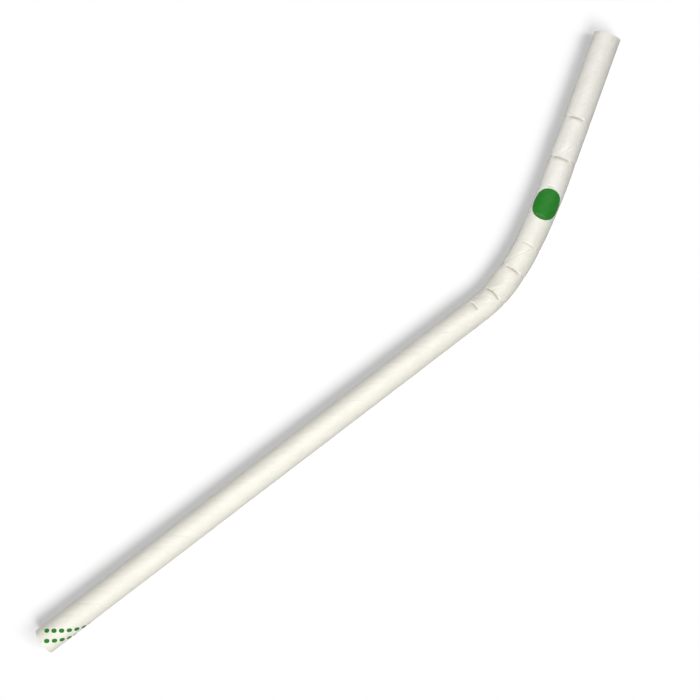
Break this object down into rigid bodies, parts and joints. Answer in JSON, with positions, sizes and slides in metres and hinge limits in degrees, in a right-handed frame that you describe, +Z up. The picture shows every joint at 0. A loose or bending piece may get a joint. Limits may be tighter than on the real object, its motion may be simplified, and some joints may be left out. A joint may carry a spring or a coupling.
{
  "type": "bendy drinking straw",
  "caption": "Bent paper drinking straw: one thin wound tube, open at both ends, with pressed crease rings that let it bend near its mouth end.",
  "frame": {"origin": "on the resting plane, under the middle of the bounding box", "axes": "+X along the long leg, from its foot end towards the bend; +Y to the side that the mouth leg turns to; +Z up, square to the plane of the bend"},
  "size_m": [0.1882, 0.0374, 0.0063],
  "materials": {
    "paper": "matte"
  },
  "bodies": {
    "root": {"straw_tube": "paper"}
  },
  "joints": []
}
